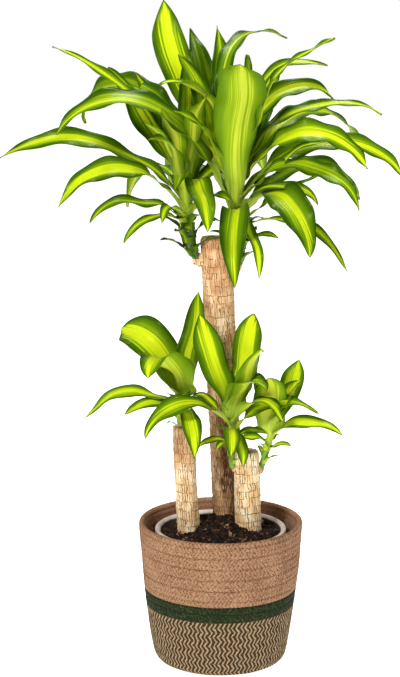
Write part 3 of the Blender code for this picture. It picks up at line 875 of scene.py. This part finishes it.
def make_leaf(leaf, materials, tone):
    """A leaf: it clasps its stem, broadens into a channelled wavy blade, and ends thin."""
    chance = random.Random(leaf.name)
    channel = chance.uniform(*CHANNEL)
    phases = [chance.uniform(0, 2 * pi) for _ in range(3)]
    seed = chance.uniform(0, 50)
    wave_length = chance.uniform(*WAVE_LENGTH)
    stray = [chance.uniform(-1.0, 1.0) for _ in range(4)]
    wave = WAVE_DEPTH * min(1.0, leaf.width / 0.04)
    rows = blade_rows(leaf)
    points, blade, shares = [], [], []
    for share, distance, midrib, side, over, reach in rows:
        # The blade rocks a little from side to side, and its midrib isn't a perfect curve
        swing = stray[0] * sin(9 * share + 3 * stray[1]) + 0.7 * stray[2] * smooth((share - 0.7) / 0.3)
        side, over = tipped(side, over, ROCK * smooth(share / 0.3) * swing)
        sway = SWAY * smooth(share / 0.4) * min(1.0, leaf.length / 0.2)
        midrib = midrib + over * sway * stray[3] * sin(11 * share + 4 * stray[2])
        midrib = midrib + side * sway * 0.7 * stray[1] * sin(8 * share + 3 * stray[3])
        # Its base is bent round the stem, and the sheath narrows downward
        clasping = 1.0 - smooth(share / CLASP_END)
        taper = smooth((share * leaf.length + 0.032) / 0.022) if share < 0 else 1.0
        half = blade_width(leaf, max(0.0, share)) / 2 * (1 - clasping)
        half += clasping * CLASP * reach * (0.35 + 0.65 * taper)
        bent = channel + (CLASP - channel) * clasping
        ripple = wave * smooth(share / 0.2) * (1.0 - 0.4 * smooth(share))
        for column in range(LEAF_COLUMNS):
            across = 2 * column / (LEAF_COLUMNS - 1) - 1
            angle = bent * across
            point = midrib + side * (sin(angle) * half / bent)
            point = point + over * ((1 - cos(angle)) * half / bent)
            crease = CREASE_DEPTH * half * (1 - exp(-(across / CREASE_WIDTH) ** 2)) * (1 - clasping)
            edge_phase = phases[0] if across > 0 else phases[1]
            lift = sin(2 * pi * distance / wave_length + edge_phase) * across * across
            lift += 0.5 * sin(2 * pi * distance / (2.3 * wave_length) + phases[2]) * across
            points.append(point + over * (crease + ripple * lift))
            blade.append((across * half, distance, seed))
            shares.append((abs(across), max(0.0, share), tone))
    faces = grid_faces(len(rows), LEAF_COLUMNS, closed=False)
    piece = make_piece(leaf.name + "_blade", points, faces, materials,
                       {"blade": blade, "share": shares})
    shell = thicken(piece, LEAF_SHELL)
    shell.offset = 0.0
    shell.material_offset = 1
    shell.material_offset_rim = 1
    return piece


def leaf_tone(leaf):
    """How dark a leaf is: up to about 0.7 for an old one that points to the back, under 0 for the lime
    low ones. Pointing to the back adds painted shade.
    """
    if leaf.name in TONES:
        return TONES[leaf.name]
    luck = random.Random(leaf.name + "tone").random()
    if leaf.shoot in ("left", "middle", "right"):
        return 0.26 * luck - 0.16
    old = 1.0 - smooth(1.1 * shoot_share(SHOOTS[leaf.shoot], leaf.height))
    # A leaf that points to the back is darkened: painted shade
    behind = max(0.0, sin(radians(leaf.azimuth)))
    return 0.22 * old + 0.20 * luck + 0.30 * behind


def make_leaves(materials):
    for leaf in LEAVES:
        turned = leaf._replace(roll=leaf.roll + ROLLED.get(leaf.name, 0))
        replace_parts(make_leaf(turned, materials, leaf_tone(leaf)), leaf.name)
    for leaf in SMALL_LEAVES:
        make_leaf(leaf, materials, leaf_tone(leaf))


def make_bracts(upper, under):
    """Short leaves that clasp the bare foot of each shoot, dark ones on the two thick shoots."""
    for name, shoot in SHOOTS.items():
        lowest = min(leaf.height for leaf in LEAVES if leaf.shoot == name)
        thick = shoot.middle_radius > THICK_SHOOT
        bracts = THICK_BRACTS if thick else THIN_BRACTS
        chance = random.Random(name)
        for index in range(bracts.count):
            share = index / (bracts.count - 1)
            height = shoot.start.z + 0.012 + (lowest - shoot.start.z - 0.010) * share
            azimuth = GOLDEN_ANGLE * index + chance.uniform(-20, 20) + (200 if "left" in name else 330)
            length = bracts.length * chance.uniform(0.7, 1.2)
            bract = Leaf("bract_%s_%d" % (name, index), name, height, azimuth, 52, 60, 1.2, length,
                         length * 0.36)
            make_leaf(bract, (upper, upper if thick else under), bracts.tone)


def make_stems(dark, bright):
    """The shoots' own stems, ringed where old leaves have dropped."""
    for name, shoot in SHOOTS.items():
        points = []
        for row in range(STEM_ROWS + 1):
            share = row / STEM_ROWS
            centre, radius = shoot_at(shoot, share)
            ring = 0.06 * abs(sin(pi * share * STEM_RINGS))
            if row == STEM_ROWS:
                radius *= 0.25
            for column in range(STEM_COLUMNS):
                around = facing(2 * pi * column / STEM_COLUMNS)
                lump = 0.10 * bumps(3 * around.x, 3 * around.y, 60 * centre.z)
                points.append(centre + around * radius * (0.92 + ring * 0.6 + lump))
        faces = grid_faces(STEM_ROWS + 1, STEM_COLUMNS, closed=True)
        faces += [cap(STEM_COLUMNS), cap(STEM_COLUMNS, STEM_ROWS, upward=True)]
        skin = dark if "top" in name else bright
        piece = make_piece("shoot_" + name + "_stem", points, faces, [skin])
        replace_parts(piece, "shoot_" + name)


# Canes

def ring_heights(cane, chance):
    """Where old leaf scars circle the cane, measured up from its foot."""
    height = 0.0
    rings = []
    while height < (cane.top - cane.foot).length:
        height += chance.uniform(*RING_GAP)
        rings.append(height)
    return rings


def ring_count(around, up, rings, seed):
    """Where a point lies among the rings: 3.5 is halfway from the third to the fourth."""
    height = up + 0.0042 * bumps(around * 45, seed, up * 14) + 0.0016 * bumps(around * 190, seed, up * 30)
    below = 0.0
    for index, ring in enumerate(rings):
        if height < ring:
            return index + (height - below) / (ring - below)
        below = ring
    return float(len(rings))


def bark_relief(around, up, counted, seed):
    """How far the bark stands out, in metres: a lip over each ring, and fibres between."""
    lip = 0.0006 * exp(-((counted % 1.0 - 0.16) / 0.14) ** 2)
    fibre = 0.0005 * bumps(around * 330, seed, up * 38)
    return lip + fibre + 0.0008 * bumps(around * 60, seed + 9, up * 45)


def cane_painted_shade(cane, height, around):
    """How much painted shade darkens the bark, where the tall cane stands behind the right one: the
    shadow that the right cane and the leaves cast on it.
    """
    if cane.name != "cane_tall":
        return 0.0
    beside = smooth((0.5 + 0.87 * around.x - 0.35 * around.y) / 0.9)
    low = smooth((0.46 - height) / 0.10) * (0.55 + 0.45 * smooth((height - 0.20) / 0.10))
    patch = bumps(around.x * 2.2, around.y * 2.2, height * 30)
    return clamped(low * (0.85 * beside + 0.9 * patch + 0.05))


def make_bark(cane, rings, seed, material):
    """A cane's side, from its foot to its sawn end."""
    look = CANE_LOOKS[cane.name]
    length = (cane.top - cane.foot).length
    rows = round(length / BARK_STEP)
    points, barks, tints = [], [], []
    for row in range(rows + 1):
        up = length * row / rows
        centre = cane.foot.lerp(cane.top, row / rows)
        edge = 1.0 - 0.10 * smooth((up - length + 0.004) / 0.004)
        near_top = smooth((centre.z - cane.top.z + 0.12) / 0.09)
        # On the tall cane this brown is partly painted shade
        brown = look.brown_low + (look.brown_top - look.brown_low) * near_top
        # The first column is there twice, so that the pattern ends where it starts
        for column in range(CANE_COLUMNS + 1):
            angle = 2 * pi * column / CANE_COLUMNS + pi / 2
            around = facing(angle)
            spot = around * cane.radius
            flat = spot.x + 0.7 * spot.y
            counted = ring_count(flat, up, rings, seed + 30 * spot.y)
            relief = bark_relief(flat, up, counted, seed + 30 * around.y)
            lump = 0.0012 * bumps(around.x * 1.2, around.y * 1.2, up * 16 + seed)
            reach = cane.radius * edge * look.swell + relief + lump - 0.0006
            points.append(centre + around * reach)
            barks.append((angle * cane.radius, up, counted))
            tint = brown + 0.22 * bumps(around.x * 2, around.y * 2, up * 22 + seed)
            # The tint's second part is painted shade, on the tall cane only
            tints.append((clamped(tint), cane_painted_shade(cane, centre.z, around), 0.0))
    faces = grid_faces(rows + 1, CANE_COLUMNS + 1, closed=False)
    faces.append(cap(CANE_COLUMNS))
    piece = make_piece(cane.name + "_bark", points, faces, [material],
                       {"bark": barks, "tint": tints})
    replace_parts(piece, cane.name)


def make_sawn_end(cane, seed, material):
    """The cane's top, rough and slightly dished."""
    lean = (cane.top - cane.foot).normalized()
    radius = cane.radius * SAWN_SHARE * CANE_LOOKS[cane.name].swell
    points, barks = [], []
    for ring in range(SAWN_RINGS + 1):
        share = 1.0 - ring / SAWN_RINGS
        for column in range(CANE_COLUMNS):
            around = facing(2 * pi * column / CANE_COLUMNS)
            dish = -SAWN_DISH * (1 - share * share)
            rough = SAWN_ROUGH * bumps(around.x * share * 9, around.y * share * 9, seed)
            height = dish + rough * (1 - share ** 6)
            points.append(cane.top + around * radius * share + lean * height)
            barks.append((share, share * around.x * 0.02, share * around.y * 0.02))
    faces = grid_faces(SAWN_RINGS + 1, CANE_COLUMNS, closed=True)
    make_piece(cane.name + "_end", points, faces, [material], {"bark": barks})


def make_knob(shoot_name, cane, size, material):
    """A woody swelling where a shoot breaks from its cane."""
    start = SHOOTS[shoot_name].start
    core = cane.foot.lerp(cane.top, (start.z - cane.foot.z) / (cane.top.z - cane.foot.z))
    outward = Vector((start.x - core.x, start.y - core.y, 0.0)).normalized()
    centre = start - outward * KNOB_SINK + Vector((0, 0, -0.5 * KNOB_SINK))
    ball = bmesh.new()
    bmesh.ops.create_icosphere(ball, subdivisions=4, radius=1.0)
    points, barks = [], []
    for vertex in ball.verts:
        way = vertex.co.normalized()
        lump = 1.0 + 0.22 * noise.noise(way * 2.3 + centre * 40) + 0.10 * noise.noise(way * 7.0)
        points.append(centre + way * Vector(size) * lump)
        barks.append((way.x * size[0], way.z * size[2], 2.0 + 1.5 * way.z))
    faces = [tuple(vertex.index for vertex in face.verts) for face in ball.faces]
    ball.free()
    make_piece("knob_" + shoot_name, points, faces, [material],
               {"bark": barks, "tint": [(0.5, 0.0, 0.0)] * len(points)})


def make_canes(bark, sawn):
    for cane in CANES:
        chance = random.Random(cane.name)
        seed = chance.uniform(0, 40)
        make_bark(cane, ring_heights(cane, chance), seed, bark)
        make_sawn_end(cane, seed, sawn)
    for shoot_name, (number, size) in KNOBS.items():
        make_knob(shoot_name, CANES[number], size, bark)


# Soil, pot and liner

def pot_floor():
    """The height of the nursery pot's underside."""
    return BASKET_FLOOR + 0.0008 + 2 * CLEARANCE


def pot_radius(height):
    """The inside radius of the nursery pot at a height."""
    share = (height - pot_floor()) / (POT_RIM_TOP - pot_floor())
    return POT_FOOT_RADIUS + share * (POT_RIM_RADIUS - 0.006 - POT_FOOT_RADIUS) - POT_WALL


def soil_height(x, y):
    """The soil's top: a low heap, lumpy, highest at the tall cane."""
    away = sqrt(x * x + y * y)
    heap = SOIL_EDGE + (SOIL_CROWN - SOIL_EDGE) * (1 - smooth(away / pot_radius(SOIL_EDGE)))
    heap += 0.0022 + 0.006 * exp(-((x - 0.005) ** 2 + (y - 0.035) ** 2) / 0.0016)
    return (heap + 0.0030 * bumps(x * 60, y * 60, 3.0) + 0.0022 * bumps(x * 150, y * 150, 8.0)
            + 0.0012 * bumps(x * 330, y * 330, 5.0))


def make_soil(material):
    """The heap, and the soil's side and underside within the pot."""
    edge = pot_radius(SOIL_EDGE) - CLEARANCE
    profile = [(edge * ring / SOIL_RINGS + 0.0002, 0.0) for ring in range(SOIL_RINGS + 1)]
    for height in (SOIL_EDGE - 0.02, 0.10, pot_floor() + POT_WALL + CLEARANCE):
        profile.append((pot_radius(height) - CLEARANCE, height))

    def shape(row, turn, radius, height):
        around = facing(2 * pi * turn) * radius
        return radius, height if row > SOIL_RINGS else soil_height(around.x, around.y)

    points = turned_points(profile, SOIL_COLUMNS, shape)
    top = (SOIL_RINGS + 1) * SOIL_COLUMNS
    tones = [(0.16 + 0.25 * bumps(spot.x * 220, spot.y * 220, 1.0), 0.0, 0.0) for spot in points[:top]]
    tones += [(0.1, 0.0, 0.0)] * (len(points) - top)
    faces = grid_faces(len(profile), SOIL_COLUMNS, closed=True)
    faces.append(cap(SOIL_COLUMNS, len(profile) - 1))
    piece = make_piece("soil_heap", points, faces, [material], {"tone": tones})
    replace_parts(piece, "soil")


def make_chips(material):
    """Bark chips and crumbs, lying at all angles on the soil."""
    chance = random.Random(CHIP_SEED)
    points, faces, tones = [], [], []
    corners = [Vector((x, y, z)) for z in (-1, 1) for y in (-1, 1) for x in (-1, 1)]
    sides = ((0, 2, 3, 1), (4, 5, 7, 6), (0, 1, 5, 4), (2, 6, 7, 3), (0, 4, 6, 2), (1, 3, 7, 5))
    edge = pot_radius(SOIL_EDGE) - 0.004
    for _ in range(CHIP_COUNT):
        reach = edge * sqrt(chance.random())
        spot = facing(chance.uniform(0, 2 * pi)) * reach
        long = chance.uniform(*CHIP_SIZES[chance.random() >= SMALL_CHIPS])
        size = Vector((long, long * chance.uniform(0.3, 0.8), long * chance.uniform(0.15, 0.5)))
        turn = Matrix.Rotation(chance.uniform(0, 2 * pi), 3, "Z")
        turn = turn @ Matrix.Rotation(chance.gauss(0, 0.5), 3, "X")
        turn = turn @ Matrix.Rotation(chance.gauss(0, 0.5), 3, "Y")
        spot.z = soil_height(spot.x, spot.y) + size.z * 0.5
        tone = chance.uniform(*CHIP_TONES[chance.random() >= DARK_CHIPS])
        first = len(points)
        for corner in corners:
            spread = Vector([part * chance.uniform(0.55, 1.1) for part in corner])
            points.append(spot + turn @ (spread * size))
            tones.append((tone, 0.0, 0.0))
        faces += [tuple(first + corner for corner in side) for side in sides]
    make_piece("soil_chips", points, faces, [material], {"tone": tones}, smoothed=False)


def make_pot(material):
    """The nursery pot, with a rolled rim."""
    foot = pot_floor()
    floor_top = foot + POT_WALL
    rim = POT_RIM_RADIUS
    top = POT_RIM_TOP
    outside = [(rim - 0.0048, top - 0.0006), (rim - 0.0034, top), (rim - 0.0012, top - 0.0002),
               (rim, top - 0.0016), (rim, top - 0.0110), (rim - 0.0010, top - 0.0120),
               (pot_radius(top - 0.013) + POT_WALL, top - 0.0140), (POT_FOOT_RADIUS, foot + 0.004),
               (POT_FOOT_RADIUS - 0.003, foot), (0.001, foot)]
    inside = [(0.001, floor_top), (pot_radius(floor_top) - 0.003, floor_top),
              (pot_radius(floor_top), floor_top + 0.003), (pot_radius(SOIL_EDGE), SOIL_EDGE),
              (pot_radius(top) - 0.0004, top - 0.004), outside[0]]
    profile = spaced(rounded(outside + inside, 2), 0.0016)
    piece = make_piece("pot_wall", turned_points(profile, POT_COLUMNS),
                       grid_faces(len(profile), POT_COLUMNS, closed=True), [material])
    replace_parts(piece, "nursery_pot")


def basket_inside(height):
    """The radius of the basket's inner wall at a height below its rim."""
    for (low_radius, low), (high_radius, high) in zip(BASKET_SIDE, BASKET_SIDE[1:]):
        if height <= high:
            break
    return low_radius + (high_radius - low_radius) * (height - low) / (high - low) - BASKET_WALL


def make_liner(material):
    """A thin film that lines the basket, creased, with an uneven upper edge."""
    profile = [(0.002, 0.0086), (0.045, 0.0086), (0.085, 0.0088)]
    for row in range(2, LINER_ROWS + 1):
        height = LINER_FOOT + (LINER_TOP - LINER_FOOT) * row / LINER_ROWS
        profile.append((basket_inside(max(height, 0.019)) - 0.0008, height))

    def shape(row, turn, radius, height):
        if radius < 0.08:
            return radius, height
        around = facing(2 * pi * turn)
        spot = 4 * around + Vector((0, 0, height * 22))
        crease = 0.0030 * abs(noise.noise(spot * 1.6)) + 0.0014 * abs(noise.noise(spot * 4.0))
        uneven = 0.0028 * smooth((height - 0.19) / 0.02) * bumps(6 * around.x, 6 * around.y, 2)
        return radius - crease, height + uneven - 0.001

    piece = make_piece("liner_film", turned_points(profile, LINER_COLUMNS, shape),
                       grid_faces(len(profile), LINER_COLUMNS, closed=True), [material])
    thicken(piece, 0.0003)
    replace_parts(piece, "basket_liner")


# The basket

def basket_shape(turn, radius, height):
    """The basket is hand made, so its round is a little uneven."""
    around = facing(2 * pi * turn)
    bulge = 0.0016 * bumps(1.3 * around.x, 1.3 * around.y, height * 9)
    dent = 0.0008 * bumps(3.2 * around.x, 3.2 * around.y, height * 24 + 5)
    lift = RIM_LIFT * smooth((height - 0.15) / 0.07) * (0.5 + 0.5 * around.y) * smooth(radius / 0.11)
    return radius + smooth(radius / 0.09) * (bulge + dent - 0.0012), height + lift


def puffed(within, height):
    """How far a course stands out: flat over its middle, and sunk at its seams, at 0 and 1."""
    return height * (1 - (2 * within - 1) ** 4) - SEAM_SINK


def make_weave(name, line, columns, shape, weaves, material, closing=()):
    """A part of the basket. weaves holds each row's height up the wall, and 1 inside it."""
    points = turned_points(line, columns, shape)
    weave = [(column / columns, *values) for values in weaves for column in range(columns)]
    faces = grid_faces(len(line), columns, closed=True) + list(closing)
    piece = make_piece(name, points, faces, [material], {"weave": weave})
    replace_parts(piece, "basket")


def make_basket_side(material):
    """The upper wall, from the green band up over the rim and down inside to the floor."""
    rim = BASKET_SIDE[-1][0]
    inner_rim = rim - BASKET_WALL
    line = [(0.1216, BAND_TOP), *BASKET_SIDE[5:]]
    line += [(rim + 0.0002, BASKET_HEIGHT - 0.0028), (rim - 0.0015, BASKET_HEIGHT),
             (inner_rim + 0.0015, BASKET_HEIGHT - 0.0002), (inner_rim, BASKET_HEIGHT - 0.004),
             (inner_rim, 0.212)]
    line += [(radius - BASKET_WALL, height) for radius, height in reversed(BASKET_SIDE[2:6])]
    line = spaced(rounded(line, 3), 0.0014)
    line.append((0.094, BASKET_FLOOR + 0.004))
    line += [(radius, BASKET_FLOOR) for radius in (0.088, 0.05, 0.002)]
    top = max(range(len(line)), key=lambda row: line[row][1])
    # The hidden inside needs fewer rings
    line = [point for row, point in enumerate(line) if row < top + 14 or row % 3 == 0]

    def shape(row, turn, radius, height):
        reach, level = basket_shape(turn, radius, height)
        if radius <= 0.09:
            return reach, level
        within = (height - BAND_TOP) / BRAID_COURSE % 1.0
        in_line = within * 2 % 1.0
        shift = (0.5 if in_line > 0.5 else 0.0) + STITCH_SHIFT * floor(within * 2)
        strand = sin(2 * pi * (STITCH_TURNS * turn + shift))
        relief = puffed(within, 0.0011) + 0.00045 * strand * sin(pi * in_line)
        outward = 1.0 if row < top else -1.0
        return reach + outward * relief * smooth(abs(row - top) / 6), level

    weaves = [(height, smooth((row - top) / 3)) for row, (_, height) in enumerate(line)]
    make_weave("basket_upper_weave", line, BRAID_COLUMNS, shape, weaves, material)


def make_basket_foot(material):
    """The green band and the zigzag courses below it, round under the edge to the middle."""
    line = [(0.002, 0.0008), (0.04, 0.0006), (0.080, 0.0002), (0.0915, 0.0005), (0.1000, 0.0030),
            (0.1050, 0.0090), *BASKET_SIDE[2:5], (0.1216, BAND_TOP)]
    line = spaced(rounded(line, 3), 0.0013)
    # The flat underside needs fewer rings
    line = [point for row, point in enumerate(line) if point[0] > 0.086 or row % 8 == 0]
    lengths = travelled(line)
    heights = [length + BAND_TOP - lengths[-1] for length in lengths]

    def shape(row, turn, radius, height):
        reach, level = basket_shape(turn, radius, height)
        if radius <= 0.088 or height <= 0.004:
            return reach, level
        up = heights[row]
        swing = ZIGZAG_SWING * (1.0 - abs(up / ZIGZAG_COURSE % 2.0 - 1.0))
        cord = 0.0009 * abs(sin(pi * (ZIGZAG_TURNS * turn + swing))) - 0.0005
        banded = smooth((up - BAND_BOTTOM) / 0.001)
        band = puffed((up - BAND_BOTTOM) / BAND_COURSE % 1.0, 0.0012)
        relief = (1 - banded) * cord + banded * band
        return reach + relief * smooth((radius - 0.088) / 0.01), level

    make_weave("basket_lower_weave", line, ZIGZAG_COLUMNS, shape, [(up, 0.0) for up in heights],
               material, [cap(ZIGZAG_COLUMNS)])


# Scene

def make_floor():
    mesh = bpy.data.meshes.new("studio_floor")
    grid = bmesh.new()
    bmesh.ops.create_grid(grid, x_segments=8, y_segments=8, size=FLOOR_SIZE)
    grid.to_mesh(mesh)
    grid.free()
    mesh.materials.append(floor_material())
    item = bpy.data.objects.new("studio_floor", mesh)
    item.location.z = FLOOR_HEIGHT
    bpy.context.scene.collection.objects.link(item)


def make_lights():
    for light in LIGHTS:
        data = bpy.data.lights.new(light.name, "AREA")
        data.shape = "DISK"
        data.size = light.size
        data.energy = light.energy
        data.color = light.colour
        lamp = bpy.data.objects.new(light.name, data)
        lamp.location = light.place
        way = Vector(light.target) - Vector(light.place)
        lamp.rotation_euler = way.to_track_quat("-Z", "Y").to_euler()
        bpy.context.scene.collection.objects.link(lamp)


def make_world():
    """White to the camera, and dimmer as a light."""
    world = bpy.data.worlds.new("studio")
    world.use_nodes = True
    bpy.context.scene.world = world
    tree = world.node_tree
    back = tree.nodes["Background"]
    back.inputs["Color"].default_value = (*WHITE, 1.0)
    path = tree.nodes.new("ShaderNodeLightPath")
    level = tree.nodes.new("ShaderNodeMapRange")
    level.inputs["To Min"].default_value = WORLD_LIGHT
    level.inputs["To Max"].default_value = 1.0
    tree.links.new(path.outputs["Is Camera Ray"], level.inputs["Value"])
    tree.links.new(level.outputs[0], back.inputs["Strength"])


def make_camera():
    data = bpy.data.cameras.new("camera")
    data.lens = CAMERA_LENS
    data.sensor_width = CAMERA_SENSOR
    camera = bpy.data.objects.new("camera", data)
    camera.location = CAMERA_PLACE
    camera.rotation_euler = (radians(90.0 - CAMERA_TILT), 0.0, 0.0)
    bpy.context.scene.collection.objects.link(camera)
    bpy.context.scene.camera = camera


def make_studio():
    bpy.context.scene.view_settings.view_transform = "Standard"
    make_camera()
    make_world()
    make_lights()
    make_floor()


def make_plant():
    upper = leaf_material(UPPER_FACE)
    under = leaf_material(UNDER_FACE)
    make_leaves((upper, under))
    make_bracts(upper, under)
    make_stems(stem_material("stem_dark", STEM_DARK), stem_material("stem_bright", STEM_BRIGHT))
    make_canes(bark_material(), sawn_material())
    soil = soil_material()
    make_soil(soil)
    make_chips(soil)
    make_pot(pot_material())
    make_liner(film_material())
    make_basket_side(straw_material())
    make_basket_foot(zigzag_material())


make_studio()
make_plant()
